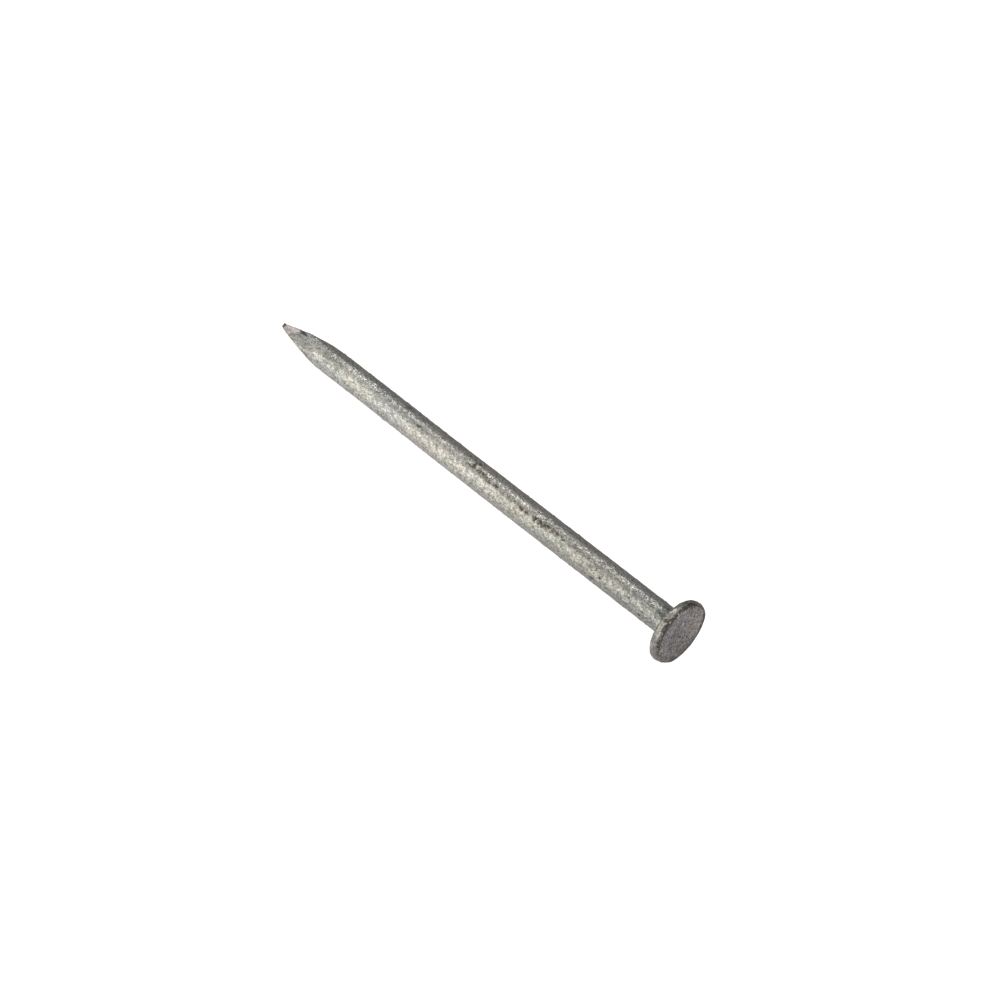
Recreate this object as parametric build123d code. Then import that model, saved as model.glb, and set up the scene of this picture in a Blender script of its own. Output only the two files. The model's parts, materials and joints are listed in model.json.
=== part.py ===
from build123d import *
from math import cos, radians, tan
import os

# A hot-dip galvanised round wire nail, 75 x 3.75 mm, with a flat head and a diamond point.
# The nail's axis is X. The origin is on that axis, in the plane of the underside of the coated
# head, so the head reaches to +X and the point is at -X. Millimetres.

# The steel: drawn wire with a cold-headed head.
LENGTH = 75.0            # underside of the coated head to the end of the point
WIRE_DIA = 3.75
HEAD_DIA = 9.0
HEAD_THICK = 1.40
FACE_ROUND = 0.40        # edge between the rim and the struck face
BACK_ROUND = 0.35        # edge between the rim and the underside
NECK_ROUND = 0.65        # hollow corner between the underside and the wire
REST_FLAT = 0.06         # depth of the slight flat on the -Z side of the rim, which the nail lies on

# The diamond point: four flats cut by the pinching dies, which leave a small blunt end.
POINT_ANGLE = 11.3       # degrees, from the axis to each flat
POINT_END = 0.62         # width of the blunt end, across the flats
POINT_TURN = 26.0        # degrees, of the flats about the axis

# Grip marks: the clamping dies bite a row of shallow cuts into two sides of the wire
# just under the head. The zinc fills them.
GRIP_COUNT = 6
GRIP_PITCH = 1.0
GRIP_START = 2.5         # from the underside of the head to the first cut
GRIP_DEPTH = 0.12
GRIP_WIDTH = 0.45

# The zinc: an even coat over everything but the very end of the point.
ZINC = 0.075
BARE_END = 0.35          # length of bare steel at the end of the point

WIRE_R = WIRE_DIA / 2
HEAD_R = HEAD_DIA / 2
STEEL_BACK_X = ZINC                   # underside of the steel head, a coat's thickness in
STEEL_FACE_X = STEEL_BACK_X + HEAD_THICK


def nail_outline(end_x, coat):
    """Wire and head turned about X, square at end_x, grown outwards by coat everywhere else."""
    wire_r = WIRE_R + coat
    head_r = HEAD_R + coat
    back_x = STEEL_BACK_X - coat
    face_x = STEEL_FACE_X + coat
    neck = NECK_ROUND - coat
    back_round = BACK_ROUND + coat
    face_round = FACE_ROUND + coat
    edges = [
        Line((end_x, 0), (end_x, wire_r)),
        Line((end_x, wire_r), (back_x - neck, wire_r)),
        CenterArc((back_x - neck, wire_r + neck), neck, -90, 90),
        Line((back_x, wire_r + neck), (back_x, head_r - back_round)),
        CenterArc((back_x + back_round, head_r - back_round), back_round, 90, 90),
        Line((back_x + back_round, head_r), (face_x - face_round, head_r)),
        CenterArc((face_x - face_round, head_r - face_round), face_round, 0, 90),
        Line((face_x, head_r - face_round), (face_x, 0)),
        Line((face_x, 0), (end_x, 0)),
    ]
    turned = revolve(make_face(edges), Axis.X, 360)
    below_flat = Pos(0, 0, REST_FLAT - head_r) * Box(
        HEAD_DIA, HEAD_DIA, HEAD_R, align=(Align.CENTER, Align.CENTER, Align.MAX)
    )
    return turned - below_flat


def square_across(x, half):
    """A square face across the axis at x."""
    return Plane((x, 0, 0), (0, 1, 0), (1, 0, 0)) * Rectangle(2 * half, 2 * half)


def point_envelope(end_x, coat):
    """The four flats of the point, grown outwards by coat: a pyramid that opens past the head."""
    angle = radians(POINT_ANGLE)
    far_x = 2 * STEEL_FACE_X
    half_end = POINT_END / 2 + (end_x + LENGTH) * tan(angle) + coat / cos(angle)
    half_far = half_end + (far_x - end_x) * tan(angle)
    return Rot(POINT_TURN, 0, 0) * loft([square_across(end_x, half_end), square_across(far_x, half_far)])


def grip_cuts():
    """Shallow V cuts across the wire on its +Y and -Y sides."""
    half = GRIP_WIDTH / 2
    groove = Polygon((-half, GRIP_DEPTH), (0, -GRIP_DEPTH), (half, GRIP_DEPTH), align=None)
    cut = extrude(groove, WIRE_R / 2, both=True)
    cuts = []
    for turn in (0, 180):
        for i in range(GRIP_COUNT):
            place = Pos(-GRIP_START - i * GRIP_PITCH, 0, 0) * Rot(turn, 0, 0) * Pos(0, WIRE_R, 0)
            cuts.append(place * cut)
    return cuts


def steel_nail():
    """Head, wire and point in one piece."""
    return (nail_outline(-LENGTH, 0) & point_envelope(-LENGTH, 0)) - grip_cuts()


def galvanised_coat(steel):
    """The coated outline less the steel, stopping short of the end of the point."""
    end_x = -LENGTH + BARE_END
    return (nail_outline(end_x, ZINC) & point_envelope(end_x, ZINC)) - steel


def main():
    os.makedirs("parts", exist_ok=True)
    steel = steel_nail()
    export_step(steel, "parts/steel_nail.step")
    export_step(galvanised_coat(steel), "parts/galvanised_coat.step")


if __name__ == "__main__":
    main()
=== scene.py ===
import math
import json

import bpy
import numpy as np
from mathutils import Matrix, Vector, noise


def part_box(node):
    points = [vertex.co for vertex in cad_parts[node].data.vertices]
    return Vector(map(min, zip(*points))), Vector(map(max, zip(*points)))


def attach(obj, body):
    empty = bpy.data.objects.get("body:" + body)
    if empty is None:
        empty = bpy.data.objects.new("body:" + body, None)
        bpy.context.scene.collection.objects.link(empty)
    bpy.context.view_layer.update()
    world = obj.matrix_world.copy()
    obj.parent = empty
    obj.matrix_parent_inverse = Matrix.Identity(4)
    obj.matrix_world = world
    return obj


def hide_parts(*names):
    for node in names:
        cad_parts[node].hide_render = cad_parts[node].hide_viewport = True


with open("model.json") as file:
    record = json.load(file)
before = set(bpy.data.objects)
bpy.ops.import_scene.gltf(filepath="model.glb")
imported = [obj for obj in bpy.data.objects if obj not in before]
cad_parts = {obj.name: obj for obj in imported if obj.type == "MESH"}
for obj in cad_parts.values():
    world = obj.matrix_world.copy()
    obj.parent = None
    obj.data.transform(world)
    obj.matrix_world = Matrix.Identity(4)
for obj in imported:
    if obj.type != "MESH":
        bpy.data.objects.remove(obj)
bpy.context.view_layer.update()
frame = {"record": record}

MM = 0.001

# The nail's own sizes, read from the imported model. The axis is X, the head is at +X, and x = 0
# is the underside of the head.
coat_low, coat_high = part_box("galvanised_coat")
steel_low, steel_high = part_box("steel_nail")
mounts = {mount["name"]: mount for mount in frame["record"]["mounts"]}
TIP_X = steel_low.x
COAT_END_X = coat_low.x
FACE_X = coat_high.x
HEAD_R = coat_high.y
SHANK_R = mounts["shank"]["dims"]["r_mm"] * MM
COAT = FACE_X - steel_high.x

# The steel's roundings and point. The zinc's are the same, a coat further out. The head's are
# sharper than the solids', as the zinc's own thickness rounds them again.
NECK_ROUND = 0.65 * MM
BACK_ROUND = 0.28 * MM
FACE_ROUND = 0.09 * MM
POINT_ANGLE = math.radians(11.3)
POINT_TURN = math.radians(26.0)
POINT_END_HALF = 0.31 * MM
RIDGE_SHARPNESS = 60
SHOULDER_SHARPNESS = 18

# The rim of the head is barrelled: it stands out most at its middle, measured from the underside,
# and falls away to its edges. Its two flanks are rolled in towards the face as well.
RIM_MIDDLE = 0.62 * MM
RIM_OUT = 0.04 * MM
RIM_FALL = 0.12 * MM
RIM_ROLL = 0.20 * MM
RIM_ROLL_DEPTH = 0.8 * MM

# How much deeper each of the point's four flats is cut than an even point's, and how far behind
# the end the cut has its full depth.
FLAT_CUTS = np.array([0.18, 0.0, -0.04, 0.06]) * MM
FLAT_CUT_START = 0.8 * MM

# The head is upset a little off the wire's axis and a little out of square. The shank takes up
# the shift and the tilt over these lengths under it.
HEAD_SHIFT = 0.14 * MM
HEAD_SHIFT_ANGLE = math.radians(211)
HEAD_SHIFT_LENGTH = 2.5 * MM
HEAD_TILT = math.radians(1.4)
HEAD_TILT_ANGLE = math.radians(121)
HEAD_TILT_LENGTH = 1.5 * MM
HEAD_SET = 0.08 * MM

# The rim is out of round by slow waves (how many round the rim, the angle where one stands out,
# height) and by bulges and flats (angle, width, height). Degrees, and heights as a share of the
# radius.
HEAD_WAVES = [(2, 35, 0.014), (3, 10, 0.007), (5, -14.9, 0.004)]
HEAD_SMALLER = 0.008
HEAD_BULGES = [(6, 18, 0.042), (248, 21, 0.056), (42, 22, -0.036), (72, 20, -0.022)]

# The wire bows a little behind the point: where along it, over what length, how far, which way.
BOW_X = -60 * MM
BOW_LENGTH = 11 * MM
BOW = 0.10 * MM
BOW_ANGLE = math.radians(31)

# The zinc's ragged edge at the point: how far it wanders, and the length that takes it up.
RAGGED = 0.06 * MM
RAGGED_LENGTH = 3 * MM

# Fineness of the surface.
AROUND = 132
SHANK_STEP = 0.125 * MM
STEEL_STEP = 0.40 * MM
HEAD_STEP = 0.10 * MM
ARC_STEPS = 8


def smooth(value, low, high):
    """0 below low, 1 above high, and a smooth step between."""
    t = np.clip((value - low) / (high - low), 0, 1)
    return t * t * (3 - 2 * t)


def window(offset, full, none):
    """1 as far as full on both sides of 0, falling to 0 at none."""
    return 1 - smooth(np.abs(offset), full, none)


def around(theta, centre):
    """Signed difference of angles from a centre, in degrees, from -180 to 180."""
    return (np.degrees(theta) - centre + 180) % 360 - 180


def sector(theta, centre, full, none):
    """1 within full degrees of the centre angle, falling to 0 at none degrees from it."""
    return window(around(theta, centre), full, none)


# ---------------------------------------------------------------- the nail's form

def arc(cx, cr, radius, start, end):
    """Points of an arc of the outline, as (x, r), from start to end in degrees."""
    angles = np.radians(np.linspace(start, end, ARC_STEPS + 1)[1:])
    return [(cx + radius * math.cos(a), cr + radius * math.sin(a)) for a in angles]


def run(x0, r0, x1, r1, step):
    """Evenly spaced points of a straight stretch of the outline, without the first."""
    count = max(1, round(math.hypot(x1 - x0, r1 - r0) / step))
    return [(x0 + (x1 - x0) * i / count, r0 + (r1 - r0) * i / count) for i in range(1, count + 1)]


def turned_outline(coat, end_x, step):
    """(x, r) of the wire and head, a coat thick outside the steel, from the point to the face."""
    wire_r = SHANK_R - COAT + coat
    head_r = HEAD_R - COAT + coat
    back_x = COAT - coat
    face_x = FACE_X - COAT + coat
    neck = NECK_ROUND - coat
    back = BACK_ROUND + coat
    front = FACE_ROUND + coat
    points = [(end_x, wire_r)]
    points += run(end_x, wire_r, back_x - neck, wire_r, step)
    points += arc(back_x - neck, wire_r + neck, neck, -90, 0)
    points += run(back_x, wire_r + neck, back_x, head_r - back, HEAD_STEP)
    points += arc(back_x + back, head_r - back, back, 180, 90)
    points += run(back_x + back, head_r, face_x - front, head_r, HEAD_STEP)
    points += arc(face_x - front, head_r - front, front, 90, 0)
    points += run(face_x, head_r - front, face_x, HEAD_STEP, HEAD_STEP)
    return np.array(points)


def flats_radius(x, theta, coat):
    """Distance from the axis to each of the point's four flats, in the direction theta."""
    half = POINT_END_HALF + (x - TIP_X) * math.tan(POINT_ANGLE) + coat / math.cos(POINT_ANGLE)
    past_end = smooth(x, TIP_X, TIP_X + FLAT_CUT_START)
    facing = np.cos(theta[..., None] - POINT_TURN - np.arange(4) * math.pi / 2)
    return (half[..., None] - past_end[..., None] * FLAT_CUTS) / np.maximum(facing, 1e-3)


def nearest(radii, sharpness):
    """The least of several radii, with the corners between them rounded."""
    least = radii.min(axis=-1)
    return least * ((radii / least[..., None]) ** -sharpness).sum(axis=-1) ** (-1 / sharpness)


def head_wave(theta):
    """How far the rim of the head is out of round, as a share of its radius."""
    wave = -HEAD_SMALLER
    for count, crest, height in HEAD_WAVES:
        wave = wave + height * np.cos(count * (theta - math.radians(crest)))
    for centre, width, height in HEAD_BULGES:
        wave = wave + height * np.exp(-((around(theta, centre) / width) ** 2))
    return wave


def cut_point(x, r, theta, coat):
    """The wire's radius after the four flats are cut, with the corners between them softened."""
    square = nearest(flats_radius(x, theta, coat), RIDGE_SHARPNESS)
    return nearest(np.stack([r, square], axis=-1), SHOULDER_SHARPNESS)


def upset_head(x, r, theta):
    """The radius with the head's rim barrelled, rolled at its flanks and out of round."""
    on_head = smooth(r, SHANK_R + NECK_ROUND, HEAD_R * 0.9) * (x >= -NECK_ROUND)
    barrel = RIM_OUT - RIM_FALL * ((x - RIM_MIDDLE) / (FACE_X / 2)) ** 2
    flanks = np.sin(theta - HEAD_TILT_ANGLE) ** 2
    rolled = RIM_ROLL * flanks * smooth(x, FACE_X - RIM_ROLL_DEPTH, FACE_X)
    return r * (1 + head_wave(theta) * on_head) + (barrel - rolled) * on_head * (x > 0)


def ragged_edge(theta):
    """How far the zinc's edge at the point stands back at each angle, as a multiple of RAGGED."""
    return 1.7 + np.cos(theta - 1.1) + 0.8 * np.cos(3 * theta + 0.6) + 0.5 * np.cos(7 * theta)


def nail_grid(coat, end_x, step, ragged=0.0):
    """Points (rings, AROUND, 3) of the nail's surface, with their angle and distance from the axis."""
    outline = turned_outline(coat, end_x, step)
    theta = np.tile(np.linspace(0, 2 * math.pi, AROUND, endpoint=False), (len(outline), 1))
    x = np.repeat(outline[:, :1], AROUND, axis=1)
    r = np.repeat(outline[:, 1:], AROUND, axis=1)
    x = x + ragged * ragged_edge(theta) * (1 - smooth(x, end_x, end_x + RAGGED_LENGTH))
    r = np.where(x < -NECK_ROUND, cut_point(x, r, theta, coat), r)
    r = upset_head(x, r, theta)

    # The head's shift and tilt, and the wire's bow.
    shift = HEAD_SHIFT * smooth(x, -HEAD_SHIFT_LENGTH, 0)
    tilt = r * np.cos(theta - HEAD_TILT_ANGLE) * math.sin(HEAD_TILT) + HEAD_SET
    x = x - smooth(x, -HEAD_TILT_LENGTH, 0) * tilt
    bow = BOW * np.exp(-(((x - BOW_X) / BOW_LENGTH) ** 2))
    y = r * np.cos(theta) + shift * math.cos(HEAD_SHIFT_ANGLE) + bow * math.cos(BOW_ANGLE)
    z = r * np.sin(theta) + shift * math.sin(HEAD_SHIFT_ANGLE) + bow * math.sin(BOW_ANGLE)
    return np.stack([x, y, z], axis=2), theta, r


def grid_normals(grid):
    """Outward unit normals of a (rings, AROUND, 3) grid."""
    along = np.gradient(grid, axis=0)
    across = np.roll(grid, -1, axis=1) - np.roll(grid, 1, axis=1)
    normal = np.cross(across, along)
    return normal / np.maximum(np.linalg.norm(normal, axis=2, keepdims=True), 1e-12)


def octave(points, size, seed):
    """Smooth noise of about that feature size at each point, from -1 to 1."""
    shift = Vector((seed * 17.3, seed * 5.7, seed * 11.9))
    return np.array([noise.noise(Vector(p) / size + shift) for p in points.reshape(-1, 3)]).reshape(
        points.shape[:-1]
    )


# Marks on the zinc: distance from the underside of the head towards the point,
# angle about the axis from +Y towards +Z, length along the nail, width across it, strength.
# Millimetres and degrees.
DARK_MARKS = [
    (42.8, 83, 1.2, 0.30, 0.85),
    (38.1, 75, 0.9, 0.45, 0.85),
    (36.9, 75, 0.6, 0.35, 0.70),
    (35.9, 75, 0.8, 0.45, 0.85),
    (36.3, 98, 0.8, 1.00, 0.80),
    (36.8, 110, 1.6, 0.60, 0.60),
    (34.5, 105, 1.9, 0.55, 0.95),
    (33.1, 114, 1.0, 0.50, 0.85),
    (31.9, 111, 1.0, 0.50, 1.00),
    (29.5, 112, 3.5, 0.40, 0.35),
    (26.8, 119, 0.8, 0.45, 0.95),
    (25.9, 121, 0.6, 0.40, 0.85),
    (26.2, 139, 0.4, 0.60, 0.75),
    (24.4, 116, 0.9, 0.50, 1.00),
    (23.0, 119, 1.8, 0.55, 0.75),
    (22.9, 129, 0.4, 0.45, 0.70),
    (19.3, 115, 0.9, 0.45, 0.45),
    (12.9, 174, 0.9, 0.60, 0.85),
    (11.7, 149, 0.6, 0.50, 0.85),
    (12.7, 134, 0.4, 1.00, 0.50),
    (6.7, 140, 0.5, 0.40, 0.70),
    (46.9, 110, 2.2, 0.40, 0.45),
    (4.1, 151, 0.36, 0.36, 0.90),
    (4.3, 170, 0.30, 0.30, 0.75),
    (71.1, 77, 1.00, 0.65, 1.40),
    (70.4, 88, 0.90, 0.36, 1.10),
    (68.9, 78, 0.80, 0.35, 0.95),
    (71.9, 165, 0.60, 0.30, 0.75),
    (60.0, 260, 2.4, 0.9, 0.75),
    (44.0, 300, 3.0, 0.8, 0.80),
    (29.0, 330, 1.8, 0.9, 0.65),
    (15.0, 250, 3.4, 0.7, 0.80),
    (8.0, 20, 1.6, 0.8, 0.70),
    (52.0, 15, 2.8, 0.7, 0.75),
]
RUST_MARKS = [
    (23.0, 118, 3.4, 0.80, 0.62),
    (21.6, 112, 2.4, 0.60, 0.62),
    (20.5, 112, 0.8, 0.65, 1.20),
    (27.4, 142, 0.9, 0.50, 0.45),
    (4.1, 151, 0.42, 0.42, 1.15),
    (4.3, 170, 0.34, 0.34, 1.05),
    (50.0, 69, 1.8, 0.60, 0.50),
    (6.3, 111, 1.1, 0.90, 0.40),
    (58.0, 280, 1.8, 0.5, 0.80),
    (31.0, 225, 1.2, 0.5, 0.70),
]
# Patches of painted shade on the zinc, the corner under the head among them: distance from the underside
# of the head towards the point, its reach (full within, gone by), angle, its reach, and how much darker.
# Millimetres and degrees.
SHADE_PATCHES = [
    (68.8, 0.8, 1.8, 165, 35, 52, 0.45),
    (72.1, 0.6, 1.3, 165, 50, 75, 0.30),
    (70.6, 0.6, 1.2, 97, 16, 32, 0.26),
    (0.0, 0.35, 0.70, 115, 35, 50, 0.30),
    (1.4, 0.6, 1.4, 100, 26, 45, 0.60),
]
# Stretches of painted shade on the rim: angle, its reach, and how much darker.
RIM_SHADE = [
    (38, 30, 48, 0.62),
    (185, 40, 65, 0.50),
]
# Nicks in the rim of the head: angle about the axis, distance from the underside, length across
# the rim and along it, in mm, and depth as a share of the deepest.
RIM_NICKS = [
    (118, 0.64, 0.36, 0.34, 1.0),
    (122, 1.16, 0.32, 0.52, 0.8),
    (112, 0.92, 0.30, 0.40, 0.6),
    (300, 0.70, 0.40, 0.30, 0.8),
]


def head_x(grid, theta, r):
    """Distance from the head's underside, along the head's own, slightly tilted, axis."""
    return grid[..., 0] + r * np.cos(theta - HEAD_TILT_ANGLE) * math.sin(HEAD_TILT) + HEAD_SET


def marks(grid, theta, r, listed, wobble):
    """Strength of the listed marks at each point of the shank, broken up by the wobble."""
    total = np.zeros(theta.shape)
    for back, centre, length, width, strength in listed:
        along = (grid[..., 0] / MM + back) / (length / 2)
        across = np.radians(around(theta, centre)) * r / MM / (width / 2)
        reach = np.hypot(along, across) + wobble
        total = np.maximum(total, strength * (1 - smooth(reach, 0.45, 1.35)))
    return total * (grid[..., 0] < -NECK_ROUND)


def nicks(grid, theta, r):
    """Depth, 0 to 1, of the nicks in the rim."""
    total = np.zeros(theta.shape)
    for centre, across_rim, size_across, size_along, depth in RIM_NICKS:
        across = (head_x(grid, theta, r) / MM - across_rim) / size_across
        along = np.radians(around(theta, centre)) * r / MM / size_along
        total = np.maximum(total, depth * (1 - smooth(np.hypot(across, along), 0.3, 1.0)))
    return total * (r > 0.8 * HEAD_R)


# Layers of the zinc's relief: feature size, a factor on distance along the nail (below 1 draws the
# features out lengthways), seed, and height in mm. They are slow swells, runs, lumps and grain.
RELIEF = [
    (5.0 * MM, 1, 1, 0.016),
    (0.9 * MM, 0.28, 2, 0.014),
    (0.70 * MM, 1, 3, 0.018),
    (0.34 * MM, 1, 4, 0.018),
]
PIMPLE_SIZE = 0.42 * MM
PIMPLE_SEED = 5
PIMPLE_RARITY = 0.28
PIMPLE_HEIGHT = 0.14
RIM_LUMP_SIZE = 0.7 * MM
RIM_LUMP_SEED = 6
RIM_LUMP_HEIGHT = 0.050

# How much thicker the zinc is towards the head, how far it sinks at dark marks and at nicks, and
# the deepest it goes, in plain zinc and further in a nick. Millimetres.
HEAVY_END = 0.03
MARK_DEPTH = 0.03
NICK_DEPTH = 0.20
DEEPEST = 0.055
DEEPEST_NICK = 0.15

# How much flatter the relief is on the struck face, and on a smoother patch behind the point:
# how far it is from the end, its reach, its angle and that reach. Millimetres and degrees.
CALM_FACE = 0.45
CALM_PATCH = 0.6
CALM_PATCH_PLACE = (8, 2, 4)
CALM_PATCH_ANGLES = (211, 20, 40)

# At its ragged edge the zinc thins away over this length, to this share of its thickness below
# its even outline.
EDGE_FADE = 1.0 * MM
EDGE_SINK = 0.85


def relief(grid):
    """Height of the zinc's own lumps over its even outline, in mm."""
    total = 0
    for size, along, seed, height in RELIEF:
        total = total + octave(grid * np.array([along, 1, 1]), size, seed) * height
    return total + np.maximum(octave(grid, PIMPLE_SIZE, PIMPLE_SEED) - PIMPLE_RARITY, 0) * PIMPLE_HEIGHT


def skin_mesh(name, grid, start_rings, masks):
    """A closed mesh: the grid, rings that close its start one by one, and its end to a middle point."""
    rows = list(start_rings) + [row for row in grid]
    points = np.concatenate(rows)
    last = len(rows) - 1
    first_middle, last_middle = len(points), len(points) + 1
    middles = [rows[0].mean(axis=0), rows[-1].mean(axis=0)]
    faces = []
    for j in range(AROUND):
        k = (j + 1) % AROUND
        for i in range(last):
            faces.append((i * AROUND + j, i * AROUND + k, (i + 1) * AROUND + k, (i + 1) * AROUND + j))
        faces.append((first_middle, k, j))
        faces.append((last_middle, last * AROUND + j, last * AROUND + k))
    mesh = bpy.data.meshes.new(name)
    mesh.from_pydata([tuple(p) for p in np.vstack([points, middles])], [], faces)
    mesh.polygons.foreach_set("use_smooth", [True] * len(mesh.polygons))
    mesh.update()
    for mask, values in masks.items():
        layer = mesh.attributes.new(mask, "FLOAT", "POINT")
        start = np.tile(values[0], len(start_rings))
        ends = [values[0].mean(), values[-1].mean()]
        layer.data.foreach_set("value", np.concatenate([start, values.ravel(), ends]).astype(np.float32))
    thing = bpy.data.objects.new(name, mesh)
    bpy.context.scene.collection.objects.link(thing)
    return thing


# Stretches of the rim where the painted shade in the corner round the struck face differs: angle,
# full within, gone by, in degrees. At the top it is wider, and low down the shade comes in on the face.
TOP_SIDE = (92, 34, 60)
LOW_SIDE = (305, 50, 85)
LAPPED_SIDE = (60, 12, 30)
WIDEST_SIDE = (75, 15, 35)


def head_zones(grid, theta, r, slow):
    """Shares of the struck face, of the rim, and of the painted shade in the corner between them, at each
    point.

    All lengths in here are in millimetres: lap is how far the face comes over the corner, wide is
    the dark's width on the rim, and inset is how far it comes in on the face.
    """
    up_head = head_x(grid, theta, r) / MM
    face = FACE_X / MM
    head_r = HEAD_R / MM
    top_side = sector(theta, *TOP_SIDE)
    low_side = sector(theta, *LOW_SIDE)

    lap = 0.07 * top_side + 0.18 * sector(theta, *LAPPED_SIDE)
    struck = smooth(up_head + lap + 0.03 * slow, face - 0.05, face - 0.01)
    rim = smooth(r, 0.78 * HEAD_R, 0.94 * HEAD_R) * (1 - struck) * (grid[..., 0] > -0.4 * MM)

    # The painted shade in the corner: its width on the rim, how far it comes in on the face, and how dark
    # it is.
    wide = 0.32 + 0.24 * top_side + 0.08 * sector(theta, *WIDEST_SIDE) + 0.10 * slow
    corner = smooth(up_head, face - wide - 0.10, face - wide + 0.05)
    inset = 0.13 + 0.47 * low_side + 0.14 * slow
    ring = smooth(r / MM, head_r - inset - 0.15 - 0.35 * low_side, head_r - inset + 0.05)
    corner = corner * np.where(up_head + lap > face - 0.02, ring, 1) * (r > 0.6 * HEAD_R)
    strength = 0.60 + 0.50 * top_side + 0.45 * low_side + 0.40 * slow
    return struck, rim, corner * strength


def zinc_height(grid, theta, struck, rim, dark, nicked):
    """Height of the zinc over its even outline, in mm, thinning away at its ragged edge."""
    x = grid[..., 0]
    from_end, full, none = CALM_PATCH_PLACE
    patch = window((x - TIP_X) / MM - from_end, full, none) * sector(theta, *CALM_PATCH_ANGLES)
    height = relief(grid) * (1 - CALM_FACE * struck - CALM_PATCH * patch)
    height = height + rim * octave(grid, RIM_LUMP_SIZE, RIM_LUMP_SEED) * RIM_LUMP_HEIGHT
    height = height + HEAVY_END * smooth(x, -48 * MM, -20 * MM) * (1 - rim)
    height = height - MARK_DEPTH * dark - NICK_DEPTH * nicked
    height = np.maximum(height, -DEEPEST - DEEPEST_NICK * nicked)
    fade = smooth(x, COAT_END_X, COAT_END_X + EDGE_FADE)
    return height * fade - EDGE_SINK * COAT / MM * (1 - fade)


# The pale pinkish zinc at the point: where it ends, in mm from the end of the nail, its share
# there, and the same for two strips behind it, with their angles.
BLUSH_ENDS = (0.9, 1.7)
BLUSH_SHARE = 0.9
BLUSH_STRIPS = [(88, 28, 42), (270, 30, 60)]
BLUSH_STRIPS_END = (2.9, 3.7)


def point_blush(theta, from_end, wobble):
    """Share of the pale pinkish zinc at the very end of the point and in the strips behind it."""
    end = (1 - smooth(from_end + wobble, *BLUSH_ENDS)) * BLUSH_SHARE
    strips = np.maximum(*[sector(theta, *strip) for strip in BLUSH_STRIPS])
    return np.maximum(end, (1 - smooth(from_end + wobble, *BLUSH_STRIPS_END)) * strips)


def painted_shade_share(grid, theta, r, struck, rim):
    """How much darker the painted shade makes the zinc at each point.

    The painted shade lies towards the head and behind the point, each on one side, then in the listed
    patches and stretches of the rim, and towards the bottom of the struck face.
    """
    x = grid[..., 0]
    from_end = (x - TIP_X) / MM
    painted_shade = 0.48 * smooth(x, -45 * MM, -8 * MM) * sector(theta, 165, 50, 75) * (r < 2.6 * MM)
    behind_point = smooth(from_end, 8.6, 10.0) * (1 - smooth(from_end, 12, 15))
    painted_shade = painted_shade + 0.42 * behind_point * sector(theta, 116, 14, 38)
    for back, full, none, centre, full_angle, none_angle, share in SHADE_PATCHES:
        there = window(x / MM + back, full, none) * sector(theta, centre, full_angle, none_angle)
        painted_shade = painted_shade + share * there
    for centre, full, none, share in RIM_SHADE:
        painted_shade = painted_shade + share * rim * sector(theta, centre, full, none)
    down_face = r * np.cos(theta - math.radians(260))
    return painted_shade + 0.50 * struck * smooth(down_face, 0, 3.4 * MM)


# Where the zinc is cool, on one flat of the point, and warm, in the middle of the shank: distance
# from the end or from the head in mm, its reach, and the angles in degrees.
COOL_PLACE = (4.6, 1.2, 2.4)
COOL_ANGLES = (85, 35, 60)
COOL_SHARE = 0.5
WARM_PLACE = (31, 10, 24)

# Noise that breaks up the edges of marks, and slow noise that varies stains.
WOBBLE_SIZE = 0.32 * MM
WOBBLE_SEED = 21
WOBBLE = 0.6
SLOW_SIZE = 1.1 * MM
SLOW_SEED = 22

# The ring that closes the zinc at the point, inside the steel: its share of the way out from the
# axis, and how far in it is.
CLOSING_SHARE = 0.6
CLOSING_DEPTH = 0.05 * MM


def build_zinc():
    """The galvanised surface, ragged at the point, with its lumps, marks and nicks."""
    grid, theta, r = nail_grid(COAT, COAT_END_X, SHANK_STEP, RAGGED)
    x = grid[..., 0]
    from_end = (x - TIP_X) / MM
    wobble = octave(grid, WOBBLE_SIZE, WOBBLE_SEED) * WOBBLE
    slow = octave(grid, SLOW_SIZE, SLOW_SEED)
    dark = marks(grid, theta, r, DARK_MARKS, wobble)
    rust = marks(grid, theta, r, RUST_MARKS, wobble)
    nicked = nicks(grid, theta, r)
    struck, rim, corner = head_zones(grid, theta, r, slow)
    cool_centre, cool_full, cool_none = COOL_PLACE
    warm_centre, warm_full, warm_none = WARM_PLACE
    cool = sector(theta, *COOL_ANGLES) * window(from_end - cool_centre, cool_full, cool_none)
    warm = window(x / MM + warm_centre, warm_full, warm_none)
    masks = {
        # The dark marks, and the rim's nicks darkened as painted shade.
        "dark": np.maximum(dark, 1.5 * nicked),
        "rust": rust,
        "face": struck,
        # Painted shade in the corner round the struck face.
        "edge": corner,
        "tip": point_blush(theta, from_end, wobble),
        "cool": COOL_SHARE * cool,
        # Painted shade, which darkens the colour.
        "painted_shade": painted_shade_share(grid, theta, r, struck, rim) * (1 + 0.4 * slow),
        "warm": warm * (1 + 0.6 * slow),
    }
    height = zinc_height(grid, theta, struck, rim, dark, nicked)
    grid = grid + grid_normals(grid) * height[..., None] * MM
    inner = grid[0] * np.array([1, CLOSING_SHARE, CLOSING_SHARE]) + np.array([CLOSING_DEPTH, 0, 0])
    return skin_mesh("zinc_skin", grid, [inner], masks)


# The sheared end of the wire: rings inside its edge, as a share of the way out and how far each
# stands from the end, the roughness over them, and how far the edge itself is worn back.
SHEARED_RINGS = [
    (0.30, -0.02 * MM),
    (0.70, 0.0),
    (0.93, 0.03 * MM),
]
SHEAR_SIZE = 0.30 * MM
SHEAR_SEED = 31
SHEAR_DEPTH = 0.05 * MM
EDGE_WORN = 0.10 * MM


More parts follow.
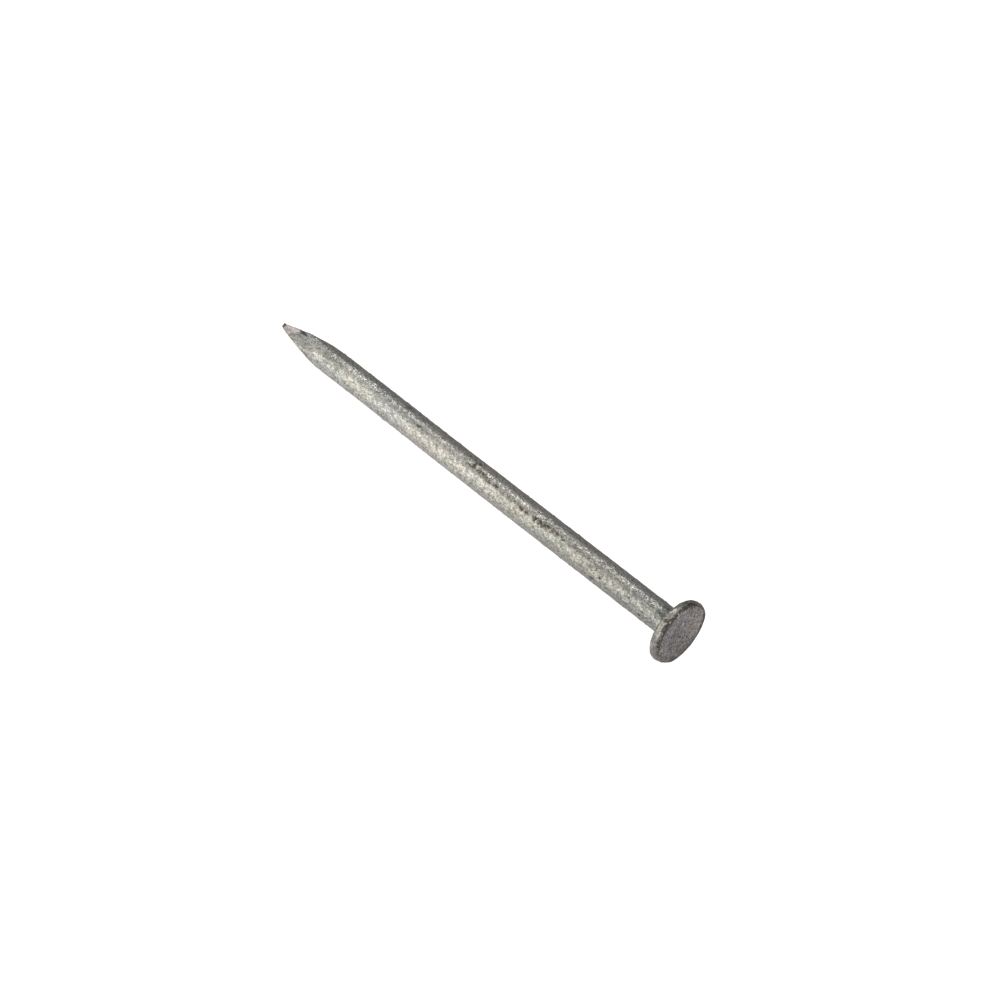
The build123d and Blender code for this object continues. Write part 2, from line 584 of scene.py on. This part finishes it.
def build_steel():
    """The wire, head and sheared point under the zinc. Only the end of the point shows."""
    grid, theta, r = nail_grid(0.0, TIP_X, STEEL_STEP)
    end = grid[0]
    shear = octave(end, SHEAR_SIZE, SHEAR_SEED)[:, None] * np.array([SHEAR_DEPTH, 0, 0])
    rings = [end * np.array([1, out, out]) + np.array([back, 0, 0]) + shear for out, back in SHEARED_RINGS]
    grid[0, :, 0] += EDGE_WORN
    grid = grid - grid_normals(grid) * nicks(grid, theta, r)[..., None] * NICK_DEPTH * MM
    return skin_mesh("steel_wire", grid, rings, {})


# ---------------------------------------------------------------- materials

class Nodes:
    """A short way to add and join shader nodes."""

    def __init__(self, material):
        material.use_nodes = True
        self.tree = material.node_tree
        self.tree.nodes.clear()

    def add(self, kind, **inputs):
        """A node with these inputs, whose names have _ in place of a space."""
        node = self.tree.nodes.new(kind)
        for name, value in inputs.items():
            self.put(node.inputs[name.replace("_", " ")], value)
        return node

    def put(self, socket, value):
        """Join another node's output to an input, or set the input to a value."""
        if isinstance(value, bpy.types.NodeSocket):
            self.tree.links.new(value, socket)
        else:
            socket.default_value = value

    def math(self, operation, a, b=0.0):
        """One step of arithmetic on two values."""
        node = self.tree.nodes.new("ShaderNodeMath")
        node.operation = operation
        self.put(node.inputs[0], a)
        self.put(node.inputs[1], b)
        return node.outputs[0]

    def scale(self, value, low, high, to_low, to_high):
        """The value carried in a straight line from one range to another, and held at its ends."""
        ends = {"From Min": low, "From Max": high, "To Min": to_low, "To Max": to_high}
        node = self.tree.nodes.new("ShaderNodeMapRange")
        self.put(node.inputs["Value"], value)
        for name, number in ends.items():
            node.inputs[name].default_value = number
        return node.outputs[0]

    def mix(self, share, a, b, blend="MIX"):
        """Colour a with a share of colour b over it."""
        node = self.tree.nodes.new("ShaderNodeMix")
        node.data_type = "RGBA"
        node.blend_type = blend
        self.put(node.inputs[0], share)
        self.put(node.inputs[6], a)
        self.put(node.inputs[7], b)
        return node.outputs[2]

    def noise(self, place, size, detail=2.0, stretch=(1, 1, 1), roughness=0.5, seed=0.0):
        """Noise of about that feature size in metres, from 0 to 1."""
        scale = self.tree.nodes.new("ShaderNodeMapping")
        self.put(scale.inputs["Vector"], place)
        scale.inputs["Location"].default_value = (seed, seed * 0.7, -seed)
        scale.inputs["Scale"].default_value = [s / size for s in stretch]
        node = self.tree.nodes.new("ShaderNodeTexNoise")
        self.put(node.inputs["Vector"], scale.outputs[0])
        node.inputs["Scale"].default_value = 1.0
        node.inputs["Detail"].default_value = detail
        node.inputs["Roughness"].default_value = roughness
        return node.outputs["Fac"]

    def mask(self, name):
        """One of the masks that the mesh carries."""
        node = self.tree.nodes.new("ShaderNodeAttribute")
        node.attribute_name = name
        return node.outputs["Fac"]


# Reflectance of the zinc: its slow patches, faint tints, light and dark mottle and grain.
GREY_PATCH = (0.545, 0.565, 0.558, 1)
CREAM_PATCH = (0.715, 0.702, 0.612, 1)
WARM_ZINC = (0.72, 0.675, 0.58, 1)
GREENISH = (0.52, 0.61, 0.55, 1)
PINKISH = (0.70, 0.58, 0.575, 1)
LIGHT_MOTTLE = (0.94, 0.93, 0.87, 1)
DARK_MOTTLE = (0.30, 0.305, 0.29, 1)
LIGHT_GRAIN = (1.0, 0.99, 0.94, 1)
DARK_GRAIN = (0.20, 0.20, 0.19, 1)

# The struck face: smudges, tints and grain.
FACE_SMUDGE = (0.295, 0.282, 0.264, 1)
FACE_GREY = (0.575, 0.56, 0.543, 1)
FACE_VIOLET = (0.388, 0.37, 0.398, 1)
FACE_BROWN = (0.46, 0.395, 0.35, 1)
FACE_LIGHT_GRAIN = (0.88, 0.86, 0.84, 1)
FACE_DARK_GRAIN = (0.085, 0.079, 0.072, 1)

# What multiplies the zinc where it is cool or where painted shade darkens it, and what lies on it.
COOL_CAST = (0.93, 0.98, 1.04, 1)
PAINTED_SHADE_TONE = (0.46, 0.46, 0.45, 1)
# Painted shade in the corner round the struck face.
CORNER_SHADE = (0.135, 0.125, 0.11, 1)
POINT_BLUSH = (0.92, 0.85, 0.815, 1)
RUST_SPOT = (0.17, 0.118, 0.085, 1)
# Colour of the dark marks, also laid in the nicks as painted shade.
DARK_SPOT_AND_SHADE = (0.135, 0.122, 0.09, 1)

ZINC_BUMP = 0.036 * MM
STEEL_GREY = (0.40, 0.345, 0.32, 1)
STEEL_RUST = (0.17, 0.10, 0.07, 1)
STEEL_BUMP = 0.02 * MM


def zinc_colour(n, place, mottle, grain):
    """The coat's colour: slow and middling changes of tint, then fine light and dark grain."""
    patch = n.noise(place, 2.6 * MM, 3, (0.45, 1, 1), seed=3.1)
    tint = n.noise(place, 0.8 * MM, 2, (0.7, 1, 1), seed=9.3)
    colour = n.mix(n.scale(patch, 0.35, 0.65, 0, 1), GREY_PATCH, CREAM_PATCH)
    colour = n.mix(n.math("MULTIPLY", n.mask("warm"), 0.45), colour, WARM_ZINC)
    colour = n.mix(n.scale(tint, 0.52, 0.64, 0, 0.50), colour, GREENISH)
    colour = n.mix(n.scale(tint, 0.47, 0.34, 0, 0.50), colour, PINKISH)
    colour = n.mix(n.scale(mottle, 0.50, 0.64, 0, 0.70), colour, LIGHT_MOTTLE)
    colour = n.mix(n.scale(mottle, 0.48, 0.34, 0, 0.72), colour, DARK_MOTTLE)
    colour = n.mix(n.scale(grain, 0.52, 0.66, 0, 0.75), colour, LIGHT_GRAIN)
    colour = n.mix(n.scale(grain, 0.48, 0.34, 0, 0.78), colour, DARK_GRAIN)
    return n.mix(n.math("MULTIPLY", n.mask("cool"), 0.80), colour, COOL_CAST, "MULTIPLY")


def face_colour(n, place):
    """The struck face's colour: grey-violet with brownish smudges and its own grain."""
    smudge = n.noise(place, 1.5 * MM, 3, (1, 1, 1), 0.6, seed=6.1)
    tint = n.noise(place, 2.3 * MM, 1, seed=8.2)
    grain = n.noise(place, 0.25 * MM, 2, (1, 1, 0.85), 0.55, seed=4.4)
    colour = n.mix(n.scale(smudge, 0.38, 0.62, 0, 1), FACE_SMUDGE, FACE_GREY)
    colour = n.mix(n.scale(tint, 0.50, 0.60, 0, 0.68), colour, FACE_VIOLET)
    colour = n.mix(n.scale(tint, 0.49, 0.38, 0, 0.70), colour, FACE_BROWN)
    colour = n.mix(n.scale(grain, 0.51, 0.66, 0, 0.66), colour, FACE_LIGHT_GRAIN)
    return n.mix(n.scale(grain, 0.48, 0.33, 0, 0.72), colour, FACE_DARK_GRAIN)


def with_stains_and_shade(n, place, colour):
    """The colour with the painted shade in the corner round the struck face, the blush, the rust and the
    dark marks over it, with the nicks darkened as painted shade.

    Fine noise breaks up the edges of the stains, the painted shade and the marks.
    """
    specks = n.noise(place, 0.24 * MM, 2, (0.8, 1, 1), 0.6, seed=12.1)
    broken = n.math("MULTIPLY", n.math("SUBTRACT", specks, 0.5), 4.6)

    def stain_and_shade(mask, most, onto, tone):
        cover = n.scale(n.math("ADD", n.mask(mask), broken), 0.30, 0.80, 0, most)
        share = n.math("MULTIPLY", cover, n.scale(n.mask(mask), 0.02, 0.15, 0, 1))
        return n.mix(share, onto, tone)

    # Painted shade in the corner round the struck face.
    colour = stain_and_shade("edge", 0.95, colour, CORNER_SHADE)
    colour = n.mix(n.math("MULTIPLY", n.mask("tip"), 0.88), colour, POINT_BLUSH)
    colour = stain_and_shade("rust", 0.80, colour, RUST_SPOT)
    # The dark marks, and the nicks darkened as painted shade.
    return stain_and_shade("dark", 0.90, colour, DARK_SPOT_AND_SHADE)


def zinc_material():
    """Dull hot-dip zinc, rougher at dark marks and on the struck face, whose grain stands out less."""
    material = bpy.data.materials.new("hot_dip_zinc")
    n = Nodes(material)
    place = n.tree.nodes.new("ShaderNodeTexCoord").outputs["Object"]
    mottle = n.noise(place, 0.36 * MM, 2, (0.8, 1, 1), 0.6, seed=7.7)
    grain = n.noise(place, 0.16 * MM, 2, (0.9, 1, 1), 0.6, seed=1.9)

    colour = n.mix(n.mask("face"), zinc_colour(n, place, mottle, grain), face_colour(n, place))
    # Painted shade multiplies the colour darker.
    colour = n.mix(n.mask("painted_shade"), colour, PAINTED_SHADE_TONE, "MULTIPLY")
    colour = with_stains_and_shade(n, place, colour)

    rough = n.scale(mottle, 0.35, 0.65, 0.46, 0.24)
    rough = n.math("ADD", rough, n.math("MULTIPLY", n.mask("dark"), 0.25))
    rough = n.math("ADD", rough, n.math("MULTIPLY", n.mask("face"), 0.10))

    bumps = n.math("ADD", grain, n.math("MULTIPLY", mottle, 0.8))
    bump_share = n.math("SUBTRACT", 1.0, n.math("MULTIPLY", n.mask("face"), 0.6))
    bump = n.add("ShaderNodeBump", Strength=bump_share, Distance=ZINC_BUMP, Height=bumps)

    shader = n.add(
        "ShaderNodeBsdfPrincipled",
        Base_Color=colour,
        Metallic=1.0,
        Roughness=rough,
        Normal=bump.outputs[0],
    )
    n.add("ShaderNodeOutputMaterial", Surface=shader.outputs[0])
    return material


def steel_material():
    """Bare drawn wire at the point, brown with light rust."""
    material = bpy.data.materials.new("bare_steel")
    n = Nodes(material)
    place = n.tree.nodes.new("ShaderNodeTexCoord").outputs["Object"]
    rust = n.noise(place, 0.30 * MM, 3, roughness=0.65, seed=2.2)
    bump = n.add("ShaderNodeBump", Strength=1.0, Distance=STEEL_BUMP, Height=rust)
    shader = n.add(
        "ShaderNodeBsdfPrincipled",
        Base_Color=n.mix(n.scale(rust, 0.35, 0.62, 0, 1), STEEL_GREY, STEEL_RUST),
        Metallic=0.75,
        Roughness=n.scale(rust, 0.3, 0.7, 0.42, 0.75),
        Normal=bump.outputs[0],
    )
    n.add("ShaderNodeOutputMaterial", Surface=shader.outputs[0])
    return material


skin = build_zinc()
skin.data.materials.append(zinc_material())
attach(skin, "root")
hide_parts("galvanised_coat")

steel = build_steel()
steel.data.materials.append(steel_material())
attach(steel, "root")
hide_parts("steel_nail")


# ---------------------------------------------------------------- floor, backdrop and light

# The floor leans by as much as the nail does when its head's rim and the start of its point lie
# on it, and is a hair below them. Sizes in metres.
POINT_LENGTH = (SHANK_R - POINT_END_HALF) / math.tan(POINT_ANGLE)
FLOOR_GAP = 0.10 * MM
REST_LEAN = math.asin((HEAD_R - SHANK_R) / (FACE_X - TIP_X - POINT_LENGTH))
FLOOR_RADIUS = 2.4
DOME_RADIUS = 2.6
FLOOR_WHITE = (0.85, 0.85, 0.85, 1)
FLOOR_GLOW = 0.80
DOME_GLOW = 1.02


def seen_by_camera_only(thing):
    """The floor and the backdrop neither shade nor light the nail, which keeps the light plain."""
    thing.visible_diffuse = False
    thing.visible_glossy = False
    thing.visible_transmission = False
    thing.visible_shadow = False


def pale_floor():
    """A white sheet for the nail to lie on."""
    bpy.ops.mesh.primitive_circle_add(vertices=96, radius=FLOOR_RADIUS, fill_type="NGON")
    floor = bpy.context.object
    floor.name = "floor"
    floor.matrix_world = (
        Matrix.Translation((FACE_X, 0, -HEAD_R - FLOOR_GAP)) @ Matrix.Rotation(REST_LEAN, 4, "Y")
    )
    material = bpy.data.materials.new("floor_white")
    n = Nodes(material)
    shader = n.add(
        "ShaderNodeBsdfPrincipled",
        Base_Color=FLOOR_WHITE,
        Roughness=0.9,
        Specular_IOR_Level=0.0,
        Emission_Color=(1, 1, 1, 1),
        Emission_Strength=FLOOR_GLOW,
    )
    n.add("ShaderNodeOutputMaterial", Surface=shader.outputs[0])
    floor.data.materials.append(material)
    seen_by_camera_only(floor)


def backdrop():
    """A plain white dome behind everything."""
    bpy.ops.mesh.primitive_uv_sphere_add(segments=48, ring_count=24, radius=DOME_RADIUS)
    dome = bpy.context.object
    dome.name = "backdrop"
    material = bpy.data.materials.new("backdrop_white")
    n = Nodes(material)
    light = n.add("ShaderNodeEmission", Color=(1, 1, 1, 1), Strength=DOME_GLOW)
    n.add("ShaderNodeOutputMaterial", Surface=light.outputs[0])
    dome.data.materials.append(material)
    seen_by_camera_only(dome)


# Soft studio light as broad glows in the world: direction towards the glow, how tight it is,
# strength and colour.
GLOWS = [
    ((-0.46, -0.79, 0.385), 4.5, 1.16, (1.00, 0.985, 0.93)),
    ((-0.46, 0.27, 0.845), 180.0, 5.60, (0.98, 1.0, 1.0)),
    ((-0.80, -0.20, 0.57), 16.0, 0.13, (1.0, 0.99, 0.98)),
    ((0.70, 0.30, 0.62), 6.0, 1.10, (1.0, 1.0, 1.0)),
    ((-0.40, -0.45, -0.80), 3.0, 0.40, (1.0, 0.985, 1.0)),
    ((0.46, 0.45, -0.76), 4.0, 0.30, (1.0, 0.98, 0.99)),
]
BASE_LIGHT = (0.20, 0.19, 0.19)


def studio_world():
    """The glows, added up over an even base light."""
    world = bpy.data.worlds.new("studio")
    bpy.context.scene.world = world
    n = Nodes(world)
    look = n.tree.nodes.new("ShaderNodeTexCoord").outputs["Generated"]
    total = BASE_LIGHT
    for direction, tightness, strength, colour in GLOWS:
        dot = n.tree.nodes.new("ShaderNodeVectorMath")
        dot.operation = "DOT_PRODUCT"
        n.put(dot.inputs[0], look)
        n.put(dot.inputs[1], Vector(direction).normalized())
        glow = n.math("POWER", n.math("MAXIMUM", dot.outputs["Value"], 0.0), tightness)
        lit = n.tree.nodes.new("ShaderNodeVectorMath")
        lit.operation = "SCALE"
        n.put(lit.inputs[0], [strength * c for c in colour])
        n.put(lit.inputs["Scale"], glow)
        add = n.tree.nodes.new("ShaderNodeVectorMath")
        add.operation = "ADD"
        n.put(add.inputs[0], total)
        n.put(add.inputs[1], lit.outputs[0])
        total = add.outputs[0]
    back = n.add("ShaderNodeBackground", Color=total, Strength=1.0)
    n.add("ShaderNodeOutputWorld", Surface=back.outputs[0])


pale_floor()
backdrop()
studio_world()
bpy.context.scene.view_settings.view_transform = "Standard"


# ---------------------------------------------------------------- camera

CAMERA_AZIMUTH = math.radians(45.4)
CAMERA_ELEVATION = math.radians(49.85)
CAMERA_DISTANCE = 381 * MM
CAMERA_LENS = 103.8       # lens and sensor in millimetres
CAMERA_SENSOR = 36
AIM_ALONG = 0.42          # share of the length from the head to the point
AIM_RIGHT = -0.87 * MM
AIM_UP = -0.18 * MM


def place_camera():
    """A camera that looks along and down on the nail from the side of its head."""
    a, e = CAMERA_AZIMUTH, CAMERA_ELEVATION
    back = Vector((math.sin(a) * math.cos(e), -math.cos(a) * math.cos(e), math.sin(e)))
    right = Vector((math.cos(a), math.sin(a), 0))
    up = back.cross(right)
    aim = Vector((TIP_X * AIM_ALONG, 0, 0)) + right * AIM_RIGHT + up * AIM_UP
    camera = bpy.data.objects.new("camera", bpy.data.cameras.new("camera"))
    bpy.context.scene.collection.objects.link(camera)
    camera.data.sensor_width = CAMERA_SENSOR
    camera.data.lens = CAMERA_LENS
    camera.data.clip_start = 0.01
    camera.data.clip_end = 10
    camera.rotation_mode = "QUATERNION"
    camera.location = aim + back * CAMERA_DISTANCE
    camera.rotation_quaternion = (-back).to_track_quat("-Z", "Y")
    bpy.context.scene.camera = camera


place_camera()
